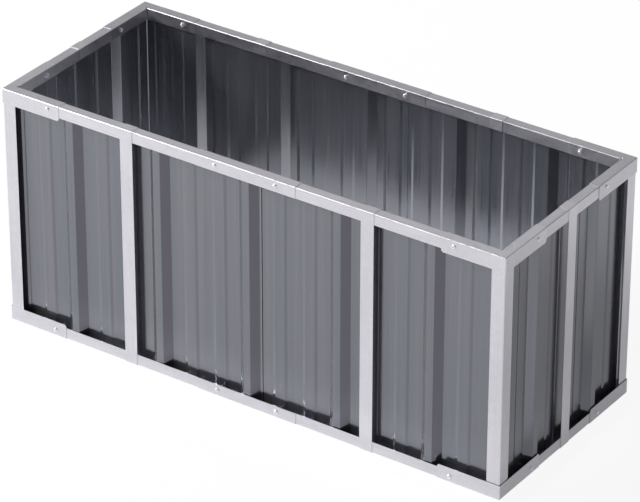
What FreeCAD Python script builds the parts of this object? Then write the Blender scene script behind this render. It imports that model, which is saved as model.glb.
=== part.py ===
"""Raised garden bed: a frame of folded steel channels round corrugated steel sheets.

Frame: +X along the bed, +Y from the front wall to the rear wall, +Z up, millimetres. The origin is the
centre of the footprint, on the ground. Each wall is drawn in its own terms: "along" runs from the
wall's left-hand corner as seen from outside, "inward" runs from the outer face towards the soil.
"""
import FreeCAD, Part

import math
import os

import Sketcher

Vector = FreeCAD.Vector

doc = FreeCAD.newDocument("raised_garden_bed")

# ---------------------------------------------------------------------------------------------------
# Driving dimensions
# ---------------------------------------------------------------------------------------------------
DIMENSIONS = [
    ("bed_length", 1000.0, "outside length, over the corner caps"),
    ("bed_width", 400.0, "outside width, over the corner caps"),
    ("bed_height", 450.0, "outside height, over the corner caps and shoes"),
    ("frame_sheet", 0.6, "sheet of the caps, sleeves, rails and posts"),
    ("panel_sheet", 0.5, "sheet of the corrugated panels"),
    ("lap_gap", 0.1, "clearance between two sheets of the frame that lie on each other"),
    ("bend_inside", 1.0, "inside radius of the frame's bends"),
    ("channel_width", 20.0, "outside width of the caps and sleeves, the wall's thickness"),
    ("cap_leg", 120.0, "reach of a corner cap from the outer corner, both ways"),
    ("cap_outer_flange", 27.0, "height of a corner cap on the outside"),
    ("cap_inner_flange", 21.0, "height of a corner cap on the soil side"),
    ("cap_relief", 3.0, "radius cut out of a cap at its inner corner, where the flanges part"),
    ("cap_nick", 3.0, "corner cut off the end of a cap's outer flange"),
    ("rail_flange", 20.3, "height of a rail's two flanges"),
    ("rail_mitre_gap", 0.8, "gap between a long rail and an end rail at their mitre"),
    ("rail_joint_gap", 1.0, "gap between the two halves of a long rail, under the sleeve"),
    ("sleeve_length", 200.0, "length of the sleeve over that joint"),
    ("post_leg", 25.0, "width of each leg of a corner post"),
    ("mid_post_width", 25.0, "width of a mid post"),
    ("mid_post_spacing", 480.0, "distance between the two mid posts of a long wall"),
    ("mid_post_hook", 20.0, "length of a mid post's hook on the soil side"),
    ("rib_clearance", 0.2, "gap between a corner post's sheet and a rib's crest"),
    ("rib_pitch", 180.0, "distance between main ribs"),
    ("rib_height", 11.0, "height of a main rib over the pan of the sheet"),
    ("rib_crest", 14.0, "width of a main rib's crest"),
    ("rib_base", 40.0, "width of a main rib at its foot"),
    ("low_rib_height", 1.2, "height of the low ribs between the main ribs"),
    ("low_rib_crest", 19.0, "width of a low rib's crest"),
    ("low_rib_base", 29.0, "width of a low rib at its foot"),
    ("rib_bend", 1.5, "mean radius of the panels' bends"),
    ("panel_end_gap", 0.5, "gap between a panel's edge and what it ends at"),
    ("outer_panel_reach", 24.0, "how far the outer sheet of a long wall runs past the middle"),
    ("inner_panel_reach", 62.0, "how far the inner sheet runs back past the middle"),
    ("screw_diameter", 4.0, "shank of a screw"),
    ("screw_clearance", 0.3, "gap round a shank in its holes"),
    ("screw_edge", 10.5, "height of the lower screws, and depth of the upper ones"),
    ("screw_tip", 1.5, "how far a screw shows past its nut"),
    ("head_diameter", 7.0, "head of a screw"),
    ("head_height", 2.1, "height of that head"),
    ("head_rounding", 1.2, "rounding of that head's rim"),
    ("recess_length", 3.8, "length of each slot of the cross recess"),
    ("recess_width", 0.9, "width of each slot of the cross recess"),
    ("recess_depth", 1.4, "depth of the cross recess"),
    ("nut_width", 7.0, "a nut's width across its flats"),
    ("nut_height", 3.2, "height of a nut"),
    ("thread_gap", 0.05, "gap between a shank and its nut's bore"),
    ("corner_screw_inset", 96.5, "distance of a cap's screws from the outer corner"),
    ("sleeve_screw_spacing", 120.0, "distance between the two screws of a sleeve"),
]

# Places that follow from them: a layer is one sheet and the gap under it.
DERIVED = [
    ("layer", "dim.frame_sheet + dim.lap_gap"),
    ("bend_outside", "dim.bend_inside + dim.frame_sheet"),
    ("post_face", "2 * (dim.frame_sheet + dim.lap_gap)"),
    ("post_back", "3 * dim.frame_sheet + 2 * dim.lap_gap"),
    ("sheet_foot", "2 * dim.frame_sheet + dim.lap_gap + dim.bend_inside"),
    ("rail_edge", "dim.frame_sheet + dim.lap_gap + dim.rail_flange"),
    ("hole_diameter", "dim.screw_diameter + 2 * dim.screw_clearance"),
    ("crest_face", "3 * dim.frame_sheet + 2 * dim.lap_gap + dim.rib_clearance"),
    ("flank_slope", "2 * dim.rib_height / (dim.rib_base - dim.rib_crest)"),
    ("panel_nest", "(dim.panel_sheet + dim.lap_gap) * sqrt(1 + flank_slope ^ 2)"),
    ("nut_back", "dim.channel_width + dim.nut_height"),
]

dim = doc.addObject("Spreadsheet::Sheet", "dim")
for row, (alias, value, meaning) in enumerate(DIMENSIONS, start=1):
    dim.set(f"A{row}", meaning)
    dim.set(f"B{row}", str(value))
    dim.setAlias(f"B{row}", alias)
doc.recompute()

calc = doc.addObject("Spreadsheet::Sheet", "calc")
for row, (alias, formula) in enumerate(DERIVED, start=1):
    calc.set(f"A{row}", alias)
    calc.set(f"B{row}", f"={formula}")
    calc.setAlias(f"B{row}", alias)
doc.recompute()


def value_of(expression):
    """The present value of an expression on the two sheets."""
    return float(dim.evalExpression(str(expression)))


# ---------------------------------------------------------------------------------------------------
# The four walls
# ---------------------------------------------------------------------------------------------------
class Wall:
    """One wall: its size along, its turn about +Z, and where its left-hand corner stands."""

    def __init__(self, name, length, turn, corner_x, corner_y):
        self.name = name
        self.length = length
        self.turn = turn
        self.corner_x = corner_x
        self.corner_y = corner_y

    def place(self, obj, along="0", inward="0", height="0", tilt=0.0):
        """Put an object at a point of the wall, tilted about the wall's own direction first."""
        cosine = round(math.cos(math.radians(self.turn)))
        sine = round(math.sin(math.radians(self.turn)))
        x = f"{self.corner_x} + ({along}) * {cosine} - ({inward}) * {sine}"
        y = f"{self.corner_y} + ({along}) * {sine} + ({inward}) * {cosine}"
        upright = FreeCAD.Rotation(Vector(0, 0, 1), self.turn)
        obj.Placement = FreeCAD.Placement(Vector(), upright * FreeCAD.Rotation(Vector(1, 0, 0), tilt))
        obj.setExpression("Placement.Base.x", x)
        obj.setExpression("Placement.Base.y", y)
        obj.setExpression("Placement.Base.z", height)


FRONT = Wall("front", "dim.bed_length", 0, "-dim.bed_length / 2", "-dim.bed_width / 2")
RIGHT = Wall("end_right", "dim.bed_width", 90, "dim.bed_length / 2", "-dim.bed_width / 2")
REAR = Wall("rear", "dim.bed_length", 180, "dim.bed_length / 2", "dim.bed_width / 2")
LEFT = Wall("end_left", "dim.bed_width", 270, "-dim.bed_length / 2", "dim.bed_width / 2")

LONG_WALLS = [(FRONT, "front_left", "front_right"), (REAR, "rear_right", "rear_left")]
END_WALLS = [LEFT, RIGHT]
CORNERS = [("front_left", FRONT), ("front_right", RIGHT), ("rear_right", REAR), ("rear_left", LEFT)]


def level_height(level, height):
    """The height of a point of the bottom frame, or of its mirror in the top frame."""
    return f"dim.bed_height - ({height})" if level == "top" else height


# ---------------------------------------------------------------------------------------------------
# Features of the folded pieces
# ---------------------------------------------------------------------------------------------------
def new_body(label):
    body = doc.addObject("PartDesign::Body", label)
    body.Label = label
    return body


def new_sketch(body, role, offset="0"):
    """A sketch on one of the body's own origin planes, or at a distance from it."""
    sketch = body.newObject("Sketcher::SketchObject", f"{body.Name}_sketch")
    plane = next(item for item in body.Origin.OriginFeatures if item.Role == role)
    sketch.AttachmentSupport = [(plane, "")]
    sketch.MapMode = "FlatFace"
    sketch.setExpression("AttachmentOffset.Base.z", offset)
    return sketch


def pin_point(sketch, geometry, point, x, y):
    """Tie one point of a sketch to two expressions, from the sketch's origin."""
    for kind, expression in (("DistanceX", x), ("DistanceY", y)):
        constraint = Sketcher.Constraint(kind, -1, 1, geometry, point, value_of(expression))
        index = sketch.addConstraint(constraint)
        sketch.setExpression(f"Constraints[{index}]", expression)


def outline(body, role, corners, offset="0"):
    """A sketch of one closed outline of straight lines through the given corners."""
    sketch = new_sketch(body, role, offset)
    points = [Vector(value_of(x), value_of(y), 0) for x, y in corners]
    count = len(points)
    for index in range(count):
        sketch.addGeometry(Part.LineSegment(points[index], points[(index + 1) % count]))
    for index in range(count):
        sketch.addConstraint(Sketcher.Constraint("Coincident", index, 2, (index + 1) % count, 1))
        pin_point(sketch, index, 1, *corners[index])
    return sketch


def circles(body, role, centres, diameter, offset="0"):
    """A sketch of equal circles at the given centres."""
    sketch = new_sketch(body, role, offset)
    for index, (x, y) in enumerate(centres):
        centre = Vector(value_of(x), value_of(y), 0)
        sketch.addGeometry(Part.Circle(centre, Vector(0, 0, 1), value_of(diameter) / 2))
        pin_point(sketch, index, 3, x, y)
        constraint = sketch.addConstraint(Sketcher.Constraint("Diameter", index, value_of(diameter)))
        sketch.setExpression(f"Constraints[{constraint}]", diameter)
    return sketch


def pad(body, sketch, length, reversed_side=False):
    feature = body.newObject("PartDesign::Pad", f"{body.Name}_pad")
    feature.Profile = sketch
    feature.Reversed = reversed_side
    feature.setExpression("Length", length)
    doc.recompute()
    return feature


def pocket_through(body, sketch):
    """Cut a sketch right through the body, both ways; stops if the cut removes nothing."""
    before = body.Shape.Volume
    feature = body.newObject("PartDesign::Pocket", f"{body.Name}_pocket")
    feature.Profile = sketch
    feature.Type = "ThroughAll"
    feature.SideType = "Symmetric"
    doc.recompute()
    if body.Shape.Volume >= before:
        raise RuntimeError(f"{feature.Name} cut nothing")
    return feature


def run_axis(edge):
    """Which axis a straight edge runs along (0, 1 or 2), or None for any other edge."""
    if len(edge.Vertexes) != 2:
        return None
    chord = edge.Vertexes[1].Point - edge.Vertexes[0].Point
    for axis, extent in enumerate(chord):
        if abs(abs(extent) - edge.Length) < 1e-6:
            return axis
    return None


def edges_through(shape, places):
    """Names of the straight edges that run through the given places.

    A place is a point with None for the coordinate along the edge.
    """
    names = []
    for number, edge in enumerate(shape.Edges, start=1):
        axis = run_axis(edge)
        for place in places:
            if axis is None or place[axis] is not None:
                continue
            pairs = zip(edge.CenterOfMass, place)
            if all(there is None or abs(here - value_of(there)) < 1e-4 for here, there in pairs):
                names.append(f"Edge{number}")
                break
    return names


def edge_feature(body, kind, property_name, size, names):
    """A fillet or a chamfer over named edges of the body so far."""
    base = body.Tip
    feature = body.newObject(kind, f"{body.Name}_edge")
    feature.Base = (base, names)
    feature.setExpression(property_name, size)
    doc.recompute()
    return feature


def bend(body, outer_places, inner_places):
    """Round the inside, then the outside, of the folds of a body that is drawn with sharp ones."""
    inner = edges_through(body.Shape, inner_places)
    edge_feature(body, "PartDesign::Fillet", "Radius", "dim.bend_inside", inner)
    outer = edges_through(body.Shape, outer_places)
    edge_feature(body, "PartDesign::Fillet", "Radius", "calc.bend_outside", outer)


# ---------------------------------------------------------------------------------------------------
# Rails and sleeves: folded channels along a wall
# ---------------------------------------------------------------------------------------------------
def channel(body, level, inset, edge, start, length):
    """A channel whose web lies an inset from the outside and whose flanges end at a height."""
    sheet = "dim.frame_sheet"
    near = inset
    far = f"dim.channel_width - ({inset})"
    near_inside = f"{near} + {sheet}"
    far_inside = f"{far} - {sheet}"
    web = level_height(level, inset)
    web_inside = level_height(level, f"{inset} + {sheet}")
    rim = level_height(level, edge)
    corners = [
        (near, web),
        (far, web),
        (far, rim),
        (far_inside, rim),
        (far_inside, web_inside),
        (near_inside, web_inside),
        (near_inside, rim),
        (near, rim),
    ]
    pad(body, outline(body, "YZ_Plane", corners, start), length)
    outer = [(None, near, web), (None, far, web)]
    inner = [(None, near_inside, web_inside), (None, far_inside, web_inside)]
    bend(body, outer, inner)


def drill(body, centres, role="XZ_Plane"):
    """Clearance holes across the wall for its screws."""
    pocket_through(body, circles(body, role, centres, "calc.hole_diameter"))


def mitre(body, start):
    """Cut a rail's end at 45 degrees in plan, so that it meets the next wall's rail at the corner."""
    width = "dim.channel_width"
    gap = "dim.rail_mitre_gap"
    if start == "0":
        corners = [("0", f"-{gap}"), (f"{width} + {gap}", width), ("0", width)]
    else:
        corners = [
            (start, f"-{gap}"),
            (start, width),
            (f"{start} - {width} - {gap}", width),
        ]
    pocket_through(body, outline(body, "XY_Plane", corners))


def screw_height(level):
    return level_height(level, "dim.screw_edge")


def sleeve_screws(wall, side):
    """Where along a long wall the screw on one side of its middle stands: side is - or +."""
    return f"{wall.length} / 2 {side} dim.sleeve_screw_spacing / 2"


def corner_screws(wall):
    """Where along a wall the screws of its two corner caps stand."""
    return ["dim.corner_screw_inset", f"{wall.length} - dim.corner_screw_inset"]


def make_rail(label, wall, level, start, length, mitres, screws):
    body = new_body(label)
    channel(body, level, "calc.layer", "calc.rail_edge", start, length)
    for end in mitres:
        mitre(body, end)
    drill(body, [(place, screw_height(level)) for place in screws])
    wall.place(body)
    return body


def make_long_rails(wall, left_name, right_name, level):
    """The two halves of a long rail, from the mitred corners to the joint under the sleeve."""
    half = f"{wall.length} / 2 - dim.rail_joint_gap / 2 - calc.layer"
    left_screw, right_screw = corner_screws(wall)
    left = make_rail(
        f"{level}_rail_{left_name}", wall, level, "calc.layer", half, ["0"],
        [left_screw, sleeve_screws(wall, "-")],
    )
    right = make_rail(
        f"{level}_rail_{right_name}", wall, level, f"{wall.length} / 2 + dim.rail_joint_gap / 2", half,
        [wall.length], [sleeve_screws(wall, "+"), right_screw],
    )
    return [left, right]


def make_end_rail(wall, level):
    length = f"{wall.length} - 2 * calc.layer"
    label = f"{level}_rail_{wall.name}"
    return make_rail(label, wall, level, "calc.layer", length, ["0", wall.length], corner_screws(wall))


def make_sleeve(wall, level):
    """The short channel that bridges the joint of a long rail; its rim is flush with the rail's."""
    body = new_body(f"{level}_rail_sleeve_{wall.name}")
    start = f"{wall.length} / 2 - dim.sleeve_length / 2"
    channel(body, level, "0", "calc.rail_edge", start, "dim.sleeve_length")
    drill(body, [(sleeve_screws(wall, side), screw_height(level)) for side in "-+"])
    wall.place(body)
    return body


# ---------------------------------------------------------------------------------------------------
# Corner caps and shoes: L-shaped channels over the ends of two walls' rails
# ---------------------------------------------------------------------------------------------------
def angle_outline(body, outer, inner, reach, offset):
    """The plan of an L that runs from outer to inner, its legs ending at a reach from the corner."""
    corners = [
        (outer, outer), (reach, outer), (reach, inner), (inner, inner), (inner, reach), (outer, reach),
    ]
    return outline(body, "XY_Plane", corners, offset)


def make_cap(label, wall, level):
    sheet = "dim.frame_sheet"
    width = "dim.channel_width"
    leg = "dim.cap_leg"
    inner_wall = f"{width} - {sheet}"
    top = level == "top"
    body = new_body(label)
    base = level_height(level, "0")
    pad(body, angle_outline(body, "0", width, leg, base), sheet, top)
    pad(body, angle_outline(body, "0", sheet, leg, base), "dim.cap_outer_flange", top)
    pad(body, angle_outline(body, inner_wall, width, leg, base), "dim.cap_inner_flange", top)

    # The folds: along both legs, on the outer and the soil side, and up the outer corner.
    web_inside = level_height(level, sheet)
    outer_folds = [(None, y, base) for y in ("0", width)] + [(x, None, base) for x in ("0", width)]
    inner_folds = [(None, y, web_inside) for y in (sheet, inner_wall)]
    inner_folds += [(x, None, web_inside) for x in (sheet, inner_wall)]
    bend(body, outer_folds + [("0", "0", None)], inner_folds + [(sheet, sheet, None)])
    pocket_through(body, circles(body, "XY_Plane", [(width, width)], "2 * dim.cap_relief"))

    # The free corners of the outer flange are nicked off.
    rim = level_height(level, "dim.cap_outer_flange")
    corners = edges_through(body.Shape, [(leg, None, rim), (None, leg, rim)])
    edge_feature(body, "PartDesign::Chamfer", "Size", "dim.cap_nick", corners)

    holes = [("dim.corner_screw_inset", screw_height(level))]
    drill(body, holes, "XZ_Plane")
    drill(body, holes, "YZ_Plane")
    wall.place(body)
    return body


# ---------------------------------------------------------------------------------------------------
# Posts
# ---------------------------------------------------------------------------------------------------
def make_corner_post(label, wall):
    """An L angle inside the rails' outer flanges; its ends stop at the bends of the rails' webs."""
    body = new_body(label)
    face = "calc.post_face"
    back = "calc.post_back"
    plan = angle_outline(body, face, back, f"{face} + dim.post_leg", "calc.sheet_foot")
    pad(body, plan, "dim.bed_height - 2 * calc.sheet_foot")
    bend(body, [(face, face, None)], [(back, back, None)])
    wall.place(body)
    return body


def make_mid_post(label, wall, middle):
    """A strip down the outside, folded over both rails and hooked on their soil side."""
    sheet = "dim.frame_sheet"
    far = "dim.channel_width"
    far_inside = f"{far} - {sheet}"
    hook = "dim.mid_post_hook"
    high = "dim.bed_height"
    high_inside = f"{high} - {sheet}"
    corners = [
        ("0", "0"), (far, "0"), (far, hook), (far_inside, hook), (far_inside, sheet), (sheet, sheet),
        (sheet, high_inside), (far_inside, high_inside), (far_inside, f"{high} - {hook}"),
        (far, f"{high} - {hook}"), (far, high), ("0", high),
    ]
    body = new_body(label)
    start = f"{middle} - dim.mid_post_width / 2"
    pad(body, outline(body, "YZ_Plane", corners, start), "dim.mid_post_width")
    outer = [(None, y, z) for y in ("0", far) for z in ("0", high)]
    inner = [(None, y, z) for y in (sheet, far_inside) for z in (sheet, high_inside)]
    bend(body, outer, inner)
    wall.place(body)
    return body


# ---------------------------------------------------------------------------------------------------
# Corrugated panels
# ---------------------------------------------------------------------------------------------------
def rib_corners(centre, crest, base, height, pan):
    """The four corners of one rib on the sheet's middle line, left to right."""
    return [
        (centre - base / 2, pan),
        (centre - crest / 2, pan - height),
        (centre + crest / 2, pan - height),
        (centre + base / 2, pan),
    ]


def middle_line(main_rib, start, end, pan):
    """The sheet's middle line, cut off at start and end; one of its main ribs stands at main_rib."""
    pitch = value_of("dim.rib_pitch")
    main_sizes = [value_of(f"dim.rib_{name}") for name in ("crest", "base", "height")]
    low_sizes = [value_of(f"dim.low_rib_{name}") for name in ("crest", "base", "height")]
    first_step = math.floor((start - main_rib) / pitch) - 1
    last_step = math.ceil((end - main_rib) / pitch)
    line = []
    for step in range(first_step, last_step + 1):
        centre = main_rib + step * pitch
        line += rib_corners(centre, *main_sizes, pan)
        line += rib_corners(centre + pitch / 3, *low_sizes, pan)
        line += rib_corners(centre + 2 * pitch / 3, *low_sizes, pan)
    return cut_line(line, start, end)


def cut_line(line, start, end):
    """Keep the part of a line, given by its corners, that lies between two places along."""
    inside = [point for point in line if start < point[0] < end]
    return [(start, height_at(line, start))] + inside + [(end, height_at(line, end))]


def height_at(line, place):
    for (x0, y0), (x1, y1) in zip(line, line[1:]):
        if x0 <= place <= x1:
            return y0 + (y1 - y0) * (place - x0) / (x1 - x0)
    raise ValueError(f"no sheet at {place}")


def side_edges(line, offset, radius):
    """One face of the sheet in plan: straight runs joined by bends, at an offset from the middle."""
    points = [Vector(x, y, 0) for x, y in line]
    runs = [(after - before).normalize() for before, after in zip(points, points[1:])]
    normals = [Vector(-run.y, run.x, 0) for run in runs]
    edges = []
    here = points[0] + normals[0] * offset
    for corner, before, after, n0, n1 in zip(points[1:], runs, runs[1:], normals, normals[1:]):
        turn = math.atan2(before.cross(after).z, before.dot(after))
        back = radius * math.tan(abs(turn) / 2)
        towards = 1 if turn > 0 else -1
        centre = corner - before * back + n0 * towards * radius
        bend_start = corner - before * back + n0 * offset
        bend_end = corner + after * back + n1 * offset
        middle = centre + (corner - centre).normalize() * (radius - towards * offset)
        edges.append(Part.LineSegment(here, bend_start).toShape())
        edges.append(Part.Arc(bend_start, middle, bend_end).toShape())
        here = bend_end
    edges.append(Part.LineSegment(here, points[-1] + normals[-1] * offset).toShape())
    return edges


def make_panel(label, wall, main_rib, start, end, nest, screws):
    """A roll-formed sheet: its plan drawn from the ribs, raised to height, then drilled."""
    sheet = value_of("dim.panel_sheet")
    pan = value_of(f"calc.crest_face + dim.rib_height + {nest}") + sheet / 2
    line = middle_line(value_of(main_rib), value_of(start), value_of(end), pan)
    radius = value_of("dim.rib_bend")
    front = side_edges(line, -sheet / 2, radius)
    back = side_edges(line, sheet / 2, radius)
    first = Part.LineSegment(front[0].Vertexes[0].Point, back[0].Vertexes[0].Point).toShape()
    last = Part.LineSegment(front[-1].Vertexes[1].Point, back[-1].Vertexes[1].Point).toShape()
    plan = doc.addObject("Part::Feature", f"{label}_plan")
    plan.Shape = Part.Face(Part.Wire(Part.__sortEdges__(front + [last] + back + [first])))

    raised = doc.addObject("Part::Extrusion", f"{label}_sheet")
    raised.Base = plan
    raised.DirMode = "Custom"
    raised.Dir = Vector(0, 0, 1)
    raised.Solid = True
    raised.setExpression("LengthFwd", "dim.bed_height - 2 * calc.sheet_foot")
    raised.setExpression("Placement.Base.z", "calc.sheet_foot")

    drills = []
    for along in screws:
        for level in ("bottom", "top"):
            drill_rod = doc.addObject("Part::Cylinder", f"{label}_hole")
            drill_rod.setExpression("Radius", "calc.hole_diameter / 2")
            drill_rod.setExpression("Height", "dim.channel_width")
            drill_rod.Placement = FreeCAD.Placement(Vector(), FreeCAD.Rotation(Vector(1, 0, 0), -90))
            drill_rod.setExpression("Placement.Base.x", along)
            drill_rod.setExpression("Placement.Base.z", screw_height(level))
            drills.append(drill_rod)
    holes = doc.addObject("Part::Compound", f"{label}_holes")
    holes.Links = drills

    panel = doc.addObject("Part::Cut", label)
    panel.Label = label
    panel.Base = raised
    panel.Tool = holes
    wall.place(panel)
    return panel


def make_long_panels(wall, left_name, right_name):
    """Two sheets that lap at the middle rib; the left-hand one, seen from outside, lies outside."""
    middle = f"{wall.length} / 2"
    clear = "calc.post_back + dim.panel_end_gap"
    left_screw, right_screw = corner_screws(wall)
    near_middle = sleeve_screws(wall, "-")
    past_middle = sleeve_screws(wall, "+")
    left = make_panel(
        f"panel_{left_name}", wall, middle, clear, f"{middle} + dim.outer_panel_reach", "0",
        [left_screw, near_middle],
    )
    right = make_panel(
        f"panel_{right_name}", wall, middle, f"{middle} - dim.inner_panel_reach",
        f"{wall.length} - ({clear})", "calc.panel_nest", [near_middle, past_middle, right_screw],
    )
    return [left, right]


def make_end_panel(wall):
    """One sheet between the long walls' sheets, with a main rib on each side of its mid post."""
    main_rib = f"({wall.length} + dim.rib_pitch) / 2"
    long_panel_back = "calc.crest_face + dim.rib_height + calc.panel_nest + dim.panel_sheet"
    start = f"{long_panel_back} + dim.panel_end_gap"
    end = f"{wall.length} - ({start})"
    return make_panel(f"panel_{wall.name}", wall, main_rib, start, end, "0", corner_screws(wall))


# ---------------------------------------------------------------------------------------------------
# Screws and nuts
# ---------------------------------------------------------------------------------------------------
def make_screw():
    """A pan-head screw, its head's seat at z = 0 and its shank pointing down."""
    shank = "dim.screw_diameter / 2"
    head = "dim.head_diameter / 2"
    height = "dim.head_height"
    tip = "-(calc.nut_back + dim.screw_tip)"
    body = new_body("screw")
    corners = [("0", tip), (shank, tip), (shank, "0"), (head, "0"), (head, height), ("0", height)]
    feature = body.newObject("PartDesign::Revolution", "screw_turned")
    feature.Profile = outline(body, "XZ_Plane", corners)
    feature.ReferenceAxis = (next(i for i in body.Origin.OriginFeatures if i.Role == "Z_Axis"), [""])
    feature.Angle = 360
    doc.recompute()
    rim = [
        f"Edge{number}" for number, edge in enumerate(body.Shape.Edges, start=1)
        if edge.BoundBox.ZLength < 1e-6
        and abs(edge.BoundBox.ZMax - value_of(height)) < 1e-6
        and edge.BoundBox.XMax > value_of(head) - 1e-6
    ]
    edge_feature(body, "PartDesign::Fillet", "Radius", "dim.head_rounding", rim)

    reach = "dim.recess_length / 2"
    side = "dim.recess_width / 2"
    cross = [
        (reach, f"-{side}"), (reach, side), (side, side), (side, reach), (f"-{side}", reach),
        (f"-{side}", side), (f"-{reach}", side), (f"-{reach}", f"-{side}"), (f"-{side}", f"-{side}"),
        (f"-{side}", f"-{reach}"), (side, f"-{reach}"), (side, f"-{side}"),
    ]
    before = body.Shape.Volume
    recess = body.newObject("PartDesign::Pocket", "screw_recess")
    recess.Profile = outline(body, "XY_Plane", cross, height)
    recess.setExpression("Length", "dim.recess_depth")
    doc.recompute()
    if body.Shape.Volume >= before:
        raise RuntimeError("the screw's recess cut nothing")
    return body


def make_nut():
    """A hexagon nut whose seat is at z = 0 and whose far face points down."""
    body = new_body("nut")
    radius = "dim.nut_width / 2 / cos(30)"
    corners = [(f"{radius} * cos({60 * step})", f"{radius} * sin({60 * step})") for step in range(6)]
    pad(body, outline(body, "XY_Plane", corners), "dim.nut_height", True)
    bore = "dim.screw_diameter + 2 * dim.thread_gap"
    pocket_through(body, circles(body, "XY_Plane", [("0", "0")], bore))
    return body


def make_fasteners(label, pattern, wall, inward, places):
    """Copies of one fastener across a wall, its axis square to the wall, as one group."""
    copies = []
    for along in places:
        for level in ("bottom", "top"):
            copy = doc.addObject("App::Link", f"{label}_copy")
            copy.LinkedObject = pattern
            wall.place(copy, along, inward, screw_height(level), tilt=90.0)
            copies.append(copy)
    group = doc.addObject("Part::Compound", label)
    group.Label = label
    group.Links = copies
    return group


# ---------------------------------------------------------------------------------------------------
# The bed, from the ground up
# ---------------------------------------------------------------------------------------------------
pieces = []

for corner, wall in CORNERS:
    pieces.append(make_cap(f"bottom_corner_shoe_{corner}", wall, "bottom"))
    pieces.append(make_corner_post(f"corner_post_{corner}", wall))
    pieces.append(make_cap(f"top_corner_cap_{corner}", wall, "top"))

for wall, left_name, right_name in LONG_WALLS:
    for level in ("bottom", "top"):
        pieces += make_long_rails(wall, left_name, right_name, level)
        pieces.append(make_sleeve(wall, level))
    half_spacing = "dim.mid_post_spacing / 2"
    pieces.append(make_mid_post(f"mid_post_{left_name}", wall, f"{wall.length} / 2 - {half_spacing}"))
    pieces.append(make_mid_post(f"mid_post_{right_name}", wall, f"{wall.length} / 2 + {half_spacing}"))
    pieces += make_long_panels(wall, left_name, right_name)

for wall in END_WALLS:
    for level in ("bottom", "top"):
        pieces.append(make_end_rail(wall, level))
    pieces.append(make_mid_post(f"mid_post_{wall.name}", wall, f"{wall.length} / 2"))
    pieces.append(make_end_panel(wall))

screw = make_screw()
nut = make_nut()
for wall in (FRONT, REAR, LEFT, RIGHT):
    places = corner_screws(wall)
    if wall in (FRONT, REAR):
        places += [sleeve_screws(wall, side) for side in "-+"]
    pieces.append(make_fasteners(f"screws_{wall.name}", screw, wall, "0", places))
    pieces.append(make_fasteners(f"nuts_{wall.name}", nut, wall, "dim.channel_width", places))

doc.recompute()

# ---------------------------------------------------------------------------------------------------
# Checks, then one file for each piece
# ---------------------------------------------------------------------------------------------------
for item in doc.Objects:
    if "Invalid" in item.State or "Error" in item.State:
        raise RuntimeError(f"{item.Name} did not build: {item.State}")
for piece in pieces:
    if piece.Shape.isNull() or not piece.Shape.isValid() or not piece.Shape.Solids:
        raise RuntimeError(f"{piece.Label} has no valid solid")

os.makedirs("parts", exist_ok=True)
for piece in pieces:
    piece.Shape.exportStep(os.path.join("parts", f"{piece.Label}.step"))
print(f"{len(pieces)} pieces, {sum(len(piece.Shape.Solids) for piece in pieces)} solids")
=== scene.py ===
"""Raised garden bed of light silver folded steel round dark corrugated sheets, as in the photograph."""
import math

import bpy
from mathutils import Matrix, Vector


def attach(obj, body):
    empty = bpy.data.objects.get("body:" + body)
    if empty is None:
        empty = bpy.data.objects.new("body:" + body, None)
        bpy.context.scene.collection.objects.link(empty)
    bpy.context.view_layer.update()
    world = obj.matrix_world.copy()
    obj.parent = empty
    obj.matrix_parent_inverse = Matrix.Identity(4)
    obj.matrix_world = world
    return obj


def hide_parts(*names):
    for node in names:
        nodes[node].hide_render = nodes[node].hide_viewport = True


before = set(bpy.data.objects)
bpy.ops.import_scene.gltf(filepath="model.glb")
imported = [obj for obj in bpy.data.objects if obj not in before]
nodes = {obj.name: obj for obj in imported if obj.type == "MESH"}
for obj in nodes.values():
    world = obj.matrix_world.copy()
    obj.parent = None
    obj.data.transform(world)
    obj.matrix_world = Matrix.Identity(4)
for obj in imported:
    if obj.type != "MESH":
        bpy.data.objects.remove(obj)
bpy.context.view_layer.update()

# ---------------------------------------------------------------------------------------------------
# Camera: a long lens from the right of the front wall, thirty degrees above the ground.
# ---------------------------------------------------------------------------------------------------
camera_place = (3.26930, -4.71849, 3.51400)
camera_turn = math.radians(34.627)
camera_rise = math.radians(29.964)
camera_roll = math.radians(0.067)

camera_data = bpy.data.cameras.new("camera")
camera_data.lens = 221.7
camera_data.sensor_width = 36.0
camera_data.clip_end = 100.0
camera = bpy.data.objects.new("camera", camera_data)
bpy.context.scene.collection.objects.link(camera)
aim = Matrix.Rotation(camera_turn, 4, "Z") @ Matrix.Rotation(math.pi / 2 - camera_rise, 4, "X")
place = Matrix.Translation(Vector(camera_place))
camera.matrix_world = place @ aim @ Matrix.Rotation(camera_roll, 4, "Z")
bpy.context.scene.camera = camera


# ---------------------------------------------------------------------------------------------------
# Corner shoes and corner caps: L-shaped channels folded from thin galvanised sheet, which sleeve over
# the rails at the four bottom and four top corners. The zinc has a soft sheen, a faint spangle and a
# fine rolled grain. The rear ones, like the rear rails and sleeves, get a darker grey as painted shade.
# ---------------------------------------------------------------------------------------------------
def new_material(name):
    """An empty node material and its shader."""
    material = bpy.data.materials.new(name)
    material.use_nodes = True
    return material, material.node_tree.nodes["Principled BSDF"]


def put(material, kind, settings=None, **inputs):
    """Add a node; a socket's value may be a number, a colour or another node's output."""
    node = material.node_tree.nodes.new(kind)
    for name, value in (settings or {}).items():
        setattr(node, name, value)
    for name, value in inputs.items():
        feed(material, node.inputs[name.replace("_", " ")], value)
    return node


def feed(material, socket, value):
    """Link another node's output to a socket, or set a number or colour in it."""
    if isinstance(value, bpy.types.NodeSocket):
        material.node_tree.links.new(value, socket)
    else:
        socket.default_value = value


def work_out(material, operation, *values, clamp=False):
    """A sum of numbers and other nodes' outputs."""
    node = put(material, "ShaderNodeMath", {"operation": operation, "use_clamp": clamp})
    for socket, value in zip(node.inputs, values):
        feed(material, socket, value)
    return node.outputs[0]


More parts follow.
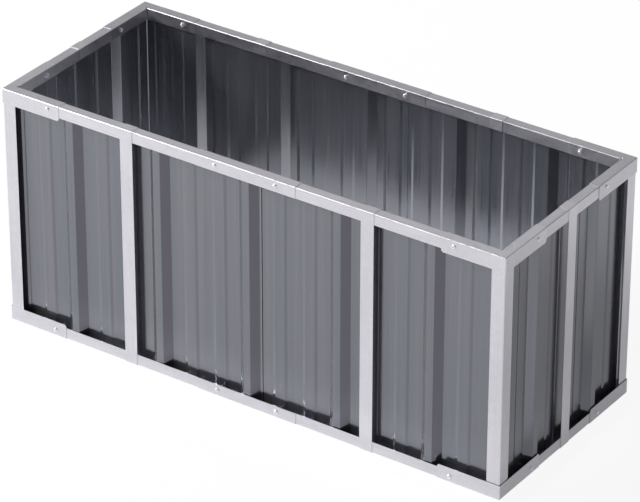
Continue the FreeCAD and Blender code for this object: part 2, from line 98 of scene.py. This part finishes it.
def stretched(material, scale):
    """Object coordinates in metres, stretched by a different number along each axis."""
    coordinates = put(material, "ShaderNodeTexCoord").outputs["Object"]
    return put(material, "ShaderNodeMapping", Vector=coordinates, Scale=scale).outputs[0]


def sheet_noise(material, scale, detail):
    """A cloudy pattern whose grain follows the scale along each axis."""
    vector = stretched(material, scale)
    return put(material, "ShaderNodeTexNoise", Vector=vector, Scale=1.0, Detail=detail).outputs[0]


def between(material, value, low, high, to_low, to_high):
    """Bring a value that runs from low to high into another range."""
    node = put(
        material, "ShaderNodeMapRange", {"clamp": True},
        Value=value, From_Min=low, From_Max=high, To_Min=to_low, To_Max=to_high,
    )
    return node.outputs[0]


def blend_colours(material, share, first, second):
    """A colour that goes from the first to the second as the share goes from 0 to 1."""
    node = put(material, "ShaderNodeMix", {"data_type": "RGBA"})
    feed(material, node.inputs[0], share)
    feed(material, node.inputs[6], first)
    feed(material, node.inputs[7], second)
    return node.outputs[2]


spangles_per_metre = 140
clouds_per_metre = 6
waves_per_metre = 18


def zinc_sheet(name, grain, shade):
    """Galvanised sheet; grain stretches its fine lines, shade is its grey."""
    material, shader = new_material(name)
    cells = put(
        material, "ShaderNodeTexVoronoi", Vector=stretched(material, (spangles_per_metre,) * 3), Scale=1.0
    )
    spangle = put(material, "ShaderNodeSeparateColor", Color=cells.outputs["Color"]).outputs[0]
    lines = sheet_noise(material, grain, 4.0)
    cloud = sheet_noise(material, (clouds_per_metre,) * 3, 2.0)

    light = (shade * 1.03, shade * 1.01, shade * 1.08, 1)
    dark = (shade * 0.93, shade * 0.91, shade * 0.975, 1)
    colour = blend_colours(material, between(material, cloud, 0.3, 0.7, 0, 1), dark, light)
    fleck = (shade * 1.12, shade * 1.11, shade * 1.18, 1)
    colour = blend_colours(material, between(material, spangle, 0.0, 1.0, 0.0, 0.35), colour, fleck)
    streak = (shade * 0.82, shade * 0.81, shade * 0.87, 1)
    colour = blend_colours(material, between(material, lines, 0.45, 0.75, 0.0, 0.5), colour, streak)
    feed(material, shader.inputs["Base Color"], colour)

    spangle_rough = between(material, spangle, 0, 1, 0.30, 0.42)
    line_rough = between(material, lines, 0.3, 0.7, -0.05, 0.07)
    feed(material, shader.inputs["Roughness"], work_out(material, "ADD", spangle_rough, line_rough))
    shader.inputs["Metallic"].default_value = 1.0

    scratches = put(material, "ShaderNodeBump", Height=lines, Strength=0.12, Distance=0.0002)
    soft = sheet_noise(material, (waves_per_metre,) * 3, 1.0)
    wave = put(
        material, "ShaderNodeBump",
        Height=soft, Strength=0.15, Distance=0.0015, Normal=scratches.outputs[0],
    )
    feed(material, shader.inputs["Normal"], wave.outputs[0])
    return material


def dress(names, material):
    """Give CAD nodes a material."""
    for name in names:
        mesh = nodes[name].data
        mesh.materials.clear()
        mesh.materials.append(material)


# Painted shade: the rear and end greys are darker than the front grey, standing in for the shade on those
# sides.
front_shade = 0.65
rear_grey_painted_darker = 0.56
end_grey_painted_darker = 0.6
side_greys_rear_painted_darker = {"front": front_shade, "rear": rear_grey_painted_darker}
for side, shade in side_greys_rear_painted_darker.items():
    corner_zinc = zinc_sheet(f"corner_zinc_{side}", (300, 300, 300), shade)
    for end in ("left", "right"):
        dress([f"bottom_corner_shoe_{side}_{end}", f"top_corner_cap_{side}_{end}"], corner_zinc)

# ---------------------------------------------------------------------------------------------------
# Rails and sleeves: straight channels folded from the same sheet, mitred under the corner caps. Their
# grain runs along their length.
# ---------------------------------------------------------------------------------------------------
# The rear rails and sleeves take the darker rear grey, which is painted shade.
for side, shade in side_greys_rear_painted_darker.items():
    long_zinc = zinc_sheet(f"long_rail_zinc_{side}", (12, 900, 900), shade)
    for level in ("bottom", "top"):
        dress([f"{level}_rail_{side}_{end}" for end in ("left", "right")], long_zinc)
        dress([f"{level}_rail_sleeve_{side}"], long_zinc)

# Painted shade: the end rails get a darker grey than the front ones, standing in for the shade on the ends.
end_zinc_painted_darker = zinc_sheet("end_rail_zinc_painted_darker", (900, 12, 900), end_grey_painted_darker)
for level in ("bottom", "top"):
    dress([f"{level}_rail_end_left", f"{level}_rail_end_right"], end_zinc_painted_darker)

# ---------------------------------------------------------------------------------------------------
# Corner posts and mid posts: L angles in the corners and flat straps on the walls, rolled the long way.
# ---------------------------------------------------------------------------------------------------
corners = ("front_left", "front_right", "rear_left", "rear_right")
upright_zinc = zinc_sheet("upright_zinc", (900, 900, 10), front_shade)
dress([f"corner_post_{corner}" for corner in corners], upright_zinc)
dress([f"mid_post_{corner}" for corner in corners], upright_zinc)
dress(["mid_post_end_left", "mid_post_end_right"], upright_zinc)

# ---------------------------------------------------------------------------------------------------
# Panels: roll-formed corrugated sheets with a hard glossy dark grey coat. Rolling leaves faint upright
# streaks, and the sheets are never quite flat between their ribs. On the outside one flank of each rib
# is darkened as painted shade. The lap on a long wall shows as a band of bare sheared steel widened
# into a painted highlight, with a painted shadow of the crevice beside it.
# ---------------------------------------------------------------------------------------------------
# Widths of the lap bands: bare sheared steel widened into a painted highlight, then a painted shadow of the
# crevice.
lap_edge = 0.024
sheared_steel_and_highlight_width = 0.0012
painted_crevice_shadow_width = 0.0015
band_blur = 0.0001


def along(material, vector, direction):
    """How much of a vector points along a direction."""
    node = put(material, "ShaderNodeVectorMath", {"operation": "DOT_PRODUCT"})
    feed(material, node.inputs[0], vector)
    feed(material, node.inputs[1], direction)
    return node.outputs["Value"]


def coated_sheet(name, across, flank_painted_shade, lap):
    """The panels' coat. Across is the direction across the ribs; the next number is how much painted
    shade darkens the outer flank of each rib that faces along across, standing in for the shade on it;
    lap is 1 where a wall has a lap, or else 0."""
    material, shader = new_material(name)
    streaks = sheet_noise(material, (90 * across[0] + 2, 90 * across[1] + 2, 1.2), 3.0)
    fine = sheet_noise(material, (1200 * across[0] + 2, 1200 * across[1] + 2, 6), 2.0)
    peel = sheet_noise(material, (900, 900, 900), 2.0)

    grey = (0.183, 0.189, 0.216, 1)
    cool = (0.156, 0.172, 0.200, 1)
    warm = (0.207, 0.198, 0.220, 1)
    colour = blend_colours(material, between(material, streaks, 0.35, 0.65, 0, 1), cool, warm)
    colour = blend_colours(material, 0.5, grey, colour)
    dust = (0.22, 0.22, 0.235, 1)
    colour = blend_colours(material, between(material, fine, 0.5, 0.8, 0.0, 0.45), colour, dust)
    thin = (0.150, 0.154, 0.178, 1)
    colour = blend_colours(material, between(material, fine, 0.5, 0.2, 0.0, 0.45), colour, thin)

    # Outside is 1 on the side of a sheet that faces out of the bed, and -1 on the other.
    coordinates = put(material, "ShaderNodeTexCoord")
    across_ribs = (across[0], across[1], 0)
    out_of_wall = (across[1], across[0], 0)
    leaning = along(material, coordinates.outputs["Normal"], across_ribs)
    lean = work_out(material, "ABSOLUTE", leaning)
    wall_side = work_out(material, "SIGN", along(material, coordinates.outputs["Object"], out_of_wall))
    facing = work_out(material, "SIGN", along(material, coordinates.outputs["Normal"], out_of_wall))
    outside = work_out(material, "MULTIPLY", wall_side, facing)

    # Painted shade: outer flanks that face along across are blended towards a darker flank colour, standing
    # in for the shade on that side of each rib.
    shaded_flank_side = work_out(material, "MINIMUM", outside, work_out(material, "SIGN", leaning), clamp=True)
    painted_shade_share = between(material, lean, 0.05, 0.6, 0.0, flank_painted_shade)
    painted_flank_shade = (0.119, 0.115, 0.140, 1)
    colour = blend_colours(material, work_out(material, "MULTIPLY", painted_shade_share, shaded_flank_side), colour, painted_flank_shade)

    # The lap lies the same distance past the middle of each long wall, as seen from outside.
    leftwards = along(material, coordinates.outputs["Object"], (-across[0], -across[1], 0))
    past_middle = work_out(material, "MULTIPLY", leftwards, wall_side)
    # A band of bare sheared steel widened into a painted highlight, then a painted shadow of the crevice at
    # the lap.
    sheared_steel_and_highlight = (0.29, 0.30, 0.33, 1)
    painted_crevice_shadow = (0.025, 0.025, 0.030, 1)
    for start, width, tone in (
        (lap_edge - sheared_steel_and_highlight_width, sheared_steel_and_highlight_width, sheared_steel_and_highlight),
        (lap_edge, painted_crevice_shadow_width, painted_crevice_shadow),
    ):
        begun = between(material, past_middle, start, start + band_blur, 0.0, lap)
        to_go = between(material, past_middle, start + width, start + width + band_blur, 1.0, 0.0)
        band = work_out(material, "MULTIPLY", begun, to_go)
        outer_band = work_out(material, "MINIMUM", band, outside, clamp=True)
        colour = blend_colours(material, outer_band, colour, tone)

    raw_steel = (0.55, 0.55, 0.58, 1)
    colour = blend_colours(material, between(material, lean, 0.9, 0.97, 0.0, 1.0), colour, raw_steel)
    feed(material, shader.inputs["Base Color"], colour)

    streak_rough = between(material, streaks, 0.3, 0.7, 0.13, 0.22)
    fine_rough = between(material, fine, 0.3, 0.7, -0.03, 0.06)
    feed(material, shader.inputs["Roughness"], work_out(material, "ADD", streak_rough, fine_rough))
    shader.inputs["Metallic"].default_value = 0.85
    shader.inputs["Coat Weight"].default_value = 0.15
    shader.inputs["Coat Roughness"].default_value = 0.12

    wave = put(material, "ShaderNodeBump", Height=streaks, Strength=0.25, Distance=0.0006)
    skin = put(
        material, "ShaderNodeBump", Height=peel, Strength=0.05, Distance=0.0001, Normal=wave.outputs[0]
    )
    feed(material, shader.inputs["Normal"], skin.outputs[0])
    return material


dress([f"panel_{corner}" for corner in corners], coated_sheet("long_wall_coat", (1, 0), 1.0, 1.0))
dress(["panel_end_left", "panel_end_right"], coated_sheet("end_wall_coat", (0, 1), 0.2, 0.0))

# ---------------------------------------------------------------------------------------------------
# Screws: zinc-plated machine screws with a pan head, a tapered cross recess and a rolled thread, which
# shows where the tip comes through its nut. One is made and copied to every hole.
# ---------------------------------------------------------------------------------------------------
head_radius = 0.0035
head_height = 0.0021
head_rounding = 0.0012
recess_length = 0.0038
recess_width = 0.0009
recess_depth = 0.0014
recess_taper = 0.62
core_radius = 0.00172
screw_length = 0.0247
run_into_head = 0.0001
tip_chamfer = 0.0004
thread_pitch = 0.0007
thread_depth = 0.0004
thread_start = 0.0006
thread_turns = 3
sharpest_smooth = math.radians(35)


def pick_only(obj):
    """Leave edit mode, and select one object alone."""
    if bpy.context.object and bpy.context.object.mode != "OBJECT":
        bpy.ops.object.mode_set(mode="OBJECT")
    bpy.ops.object.select_all(action="DESELECT")
    if obj:
        obj.select_set(True)
        bpy.context.view_layer.objects.active = obj


def settle(obj):
    """Put an object's place, turn and size into its mesh."""
    pick_only(obj)
    bpy.ops.object.transform_apply(location=True, rotation=True, scale=True)


def turned_bar(radius, bottom, top, sides, turn=0.0):
    """A round bar along Z between two heights."""
    pick_only(None)
    bpy.ops.mesh.primitive_cylinder_add(
        vertices=sides, radius=radius, depth=top - bottom, location=(0, 0, (top + bottom) / 2),
        rotation=(0, 0, math.radians(turn)),
    )
    bar = bpy.context.object
    settle(bar)
    return bar


def round_rims(obj, heights, width, steps):
    """Bevel the rims of a turned piece that lie at the given heights."""
    pick_only(obj)
    bpy.ops.object.mode_set(mode="EDIT")
    bpy.ops.mesh.select_mode(type="EDGE")
    bpy.ops.mesh.select_all(action="DESELECT")
    bpy.ops.object.mode_set(mode="OBJECT")
    points = obj.data.vertices
    for edge in obj.data.edges:
        levels = [points[index].co.z for index in edge.vertices]
        edge.select = any(max(abs(level - height) for level in levels) < 1e-6 for height in heights)
    bpy.ops.object.mode_set(mode="EDIT")
    bpy.ops.mesh.bevel(offset=width, segments=steps, affect="EDGES")
    bpy.ops.object.mode_set(mode="OBJECT")


def cut(obj, tool, operation="DIFFERENCE"):
    """Cut an object with another, which is used up."""
    trim = obj.modifiers.new("cut", "BOOLEAN")
    trim.operation = operation
    trim.solver = "EXACT"
    trim.object = tool
    pick_only(obj)
    bpy.ops.object.modifier_apply(modifier=trim.name)
    bpy.data.objects.remove(tool)


screw = turned_bar(head_radius, 0, head_height, 40)
round_rims(screw, [head_height], head_rounding, 6)

for turn in (0, 90):
    pick_only(None)
    bpy.ops.mesh.primitive_cone_add(
        vertices=4, radius1=recess_taper * math.sqrt(0.5), radius2=math.sqrt(0.5), depth=1,
        rotation=(0, 0, math.radians(45)),
    )
    wing = bpy.context.object
    settle(wing)
    wing.scale = (recess_length, recess_width, 2 * recess_depth)
    wing.location = (0, 0, head_height)
    wing.rotation_euler = (0, 0, math.radians(turn))
    settle(wing)
    cut(screw, wing)

shank = turned_bar(core_radius, -screw_length, run_into_head, 24)
round_rims(shank, [-screw_length], tip_chamfer, 1)

pick_only(None)
bpy.ops.mesh.primitive_circle_add(vertices=3, radius=thread_depth, fill_type="NOTHING")
thread = bpy.context.object
thread.rotation_euler = (math.radians(90), 0, 0)
thread.location = (core_radius, 0, thread_start - screw_length)
settle(thread)
turns = thread.modifiers.new("thread", "SCREW")
turns.axis = "Z"
turns.angle = math.radians(360)
turns.screw_offset = thread_pitch
turns.iterations = thread_turns
turns.steps = 24
turns.render_steps = 24
bpy.ops.object.modifier_apply(modifier=turns.name)
bpy.ops.object.mode_set(mode="EDIT")
bpy.ops.mesh.select_all(action="SELECT")
bpy.ops.mesh.fill_holes(sides=3)
bpy.ops.mesh.normals_make_consistent(inside=False)
pick_only(screw)
shank.select_set(True)
thread.select_set(True)
bpy.ops.object.join()

# Where the holes are: each wall's turn and how far it stands from the middle, and the holes along it.
corner_inset = 0.0965
sleeve_spacing = 0.12
hole_height = 0.0105
length, width, height = 1.0, 0.4, 0.45
end_holes = [corner_inset - width / 2, width / 2 - corner_inset]
sleeve_holes = [-sleeve_spacing / 2, sleeve_spacing / 2]
long_holes = [corner_inset - length / 2, *sleeve_holes, length / 2 - corner_inset]
walls = {
    "front": (0, width / 2, long_holes),
    "end_right": (90, length / 2, end_holes),
    "rear": (180, width / 2, long_holes),
    "end_left": (270, length / 2, end_holes),
}


def fill_holes(pattern, name, wall, inward=0.0):
    """A copy of a fastener in every hole of a wall, at a chance turn, joined as one piece."""
    turn, stand, places = walls[wall]
    copies = []
    for level in (hole_height, height - hole_height):
        for number, sideways in enumerate(places):
            pick_only(pattern)
            bpy.ops.object.duplicate()
            copy = bpy.context.object
            seat = Matrix.Translation((sideways, inward - stand, level))
            level_turn = Matrix.Rotation(math.radians(turn), 4, "Z")
            chance = Matrix.Rotation(2.4 * number + 3.0 * level + turn, 4, "Z")
            copy.matrix_world = level_turn @ seat @ Matrix.Rotation(math.radians(90), 4, "X") @ chance
            settle(copy)
            copies.append(copy)
    pick_only(copies[0])
    for copy in copies:
        copy.select_set(True)
    bpy.ops.object.join()
    piece = bpy.context.object
    piece.name = name
    bpy.ops.object.shade_smooth_by_angle(angle=sharpest_smooth)
    return piece


bright_zinc = zinc_sheet("bright_zinc", (700, 700, 700), 0.9)
for wall in walls:
    piece = fill_holes(screw, f"pan_head_screws_{wall}", wall)
    piece.data.materials.append(bright_zinc)
    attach(piece, "root")
    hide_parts(f"screws_{wall}")
bpy.data.objects.remove(screw)

# ---------------------------------------------------------------------------------------------------
# Nuts: hexagons of zinc-plated steel, their corners turned off on both faces, run up against the inner
# flange behind each screw.
# ---------------------------------------------------------------------------------------------------
nut_flats = 0.007
nut_corners = nut_flats / math.sqrt(3)
nut_height = 0.0032
nut_chamfer = 0.0006
nut_bore = 0.0041
turning_clear = 0.00002
flange_inside = 0.02

nut = turned_bar(nut_corners, -nut_height, 0, 6)
lathe_top = turning_clear
lathe_bottom = -nut_height - turning_clear
blank = turned_bar(nut_corners + 3 * turning_clear, lathe_bottom, lathe_top, 48, 3.75)
round_rims(blank, [lathe_top, lathe_bottom], nut_chamfer, 1)
cut(nut, blank, "INTERSECT")
cut(nut, turned_bar(nut_bore / 2, -2 * nut_height, nut_height, 32))

for wall in walls:
    piece = fill_holes(nut, f"hex_nuts_{wall}", wall, flange_inside)
    piece.data.materials.append(bright_zinc)
    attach(piece, "root")
    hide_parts(f"nuts_{wall}")
bpy.data.objects.remove(nut)

# ---------------------------------------------------------------------------------------------------
# The studio: a wide white floor, a large soft light from the left, a narrow gridded one hung lengthwise
# over the bed, a faint one behind that the top faces mirror, and a grey room.
# ---------------------------------------------------------------------------------------------------
floor_size = 60.0
white_to_camera = 0.9
white_in_mirrors = 0.32
room_grey = 0.34

pick_only(None)
bpy.ops.mesh.primitive_plane_add(size=floor_size, location=(0, 0, 0))
floor = bpy.context.object
floor.name = "studio_floor"
floor_white, floor_shader = new_material("floor_white")
floor_shader.inputs["Base Color"].default_value = (0.9, 0.9, 0.9, 1)
floor_shader.inputs["Roughness"].default_value = 0.9
floor_shader.inputs["Specular IOR Level"].default_value = 0.1
glow = put(floor_white, "ShaderNodeEmission", Color=(1, 1, 1, 1), Strength=1.0)
ray = put(floor_white, "ShaderNodeLightPath").outputs
mirrored = work_out(floor_white, "MAXIMUM", ray["Is Glossy Ray"], ray["Is Transmission Ray"])
mirrored_share = work_out(floor_white, "MULTIPLY", mirrored, white_in_mirrors)
share = work_out(floor_white, "MULTIPLY_ADD", ray["Is Camera Ray"], white_to_camera, mirrored_share)
cover = put(floor_white, "ShaderNodeMixShader")
feed(floor_white, cover.inputs[0], share)
feed(floor_white, cover.inputs[1], floor_shader.outputs[0])
feed(floor_white, cover.inputs[2], glow.outputs[0])
surface = floor_white.node_tree.nodes["Material Output"].inputs["Surface"]
feed(floor_white, surface, cover.outputs[0])
floor.data.materials.append(floor_white)


def soft_light(name, at, towards, size, watts, spread=180):
    """A softbox of a given width and depth that faces a point; a grid narrows its spread."""
    lamp_data = bpy.data.lights.new(name, "AREA")
    lamp_data.shape = "RECTANGLE"
    lamp_data.size, lamp_data.size_y = size
    lamp_data.energy = watts
    lamp_data.spread = math.radians(spread)
    lamp = bpy.data.objects.new(name, lamp_data)
    bpy.context.scene.collection.objects.link(lamp)
    lamp.location = at
    lamp.rotation_euler = (Vector(towards) - Vector(at)).to_track_quat("-Z", "Y").to_euler()
    return lamp


soft_light("softbox_left", (-7.8, -4.5, 5.8), (0.0, 0.0, 0.1), size=(3.4, 3.4), watts=1560)
soft_light("faint_softbox_behind", (-1.7, 2.3, 2.6), (0.0, 0.0, 0.45), size=(2.2, 1.0), watts=4.8)
strip = soft_light(
    "gridded_strip_overhead", (-0.04, 0.0, 2.6), (-0.04, 0.0, 0.0), size=(0.84, 0.06), watts=1.85, spread=14
)
strip.visible_glossy = False

room = bpy.data.worlds.new("room")
bpy.context.scene.world = room
room.use_nodes = True
room.node_tree.nodes["Background"].inputs["Color"].default_value = (1, 1, 1, 1)
room.node_tree.nodes["Background"].inputs["Strength"].default_value = room_grey

bpy.context.scene.view_settings.view_transform = "Standard"
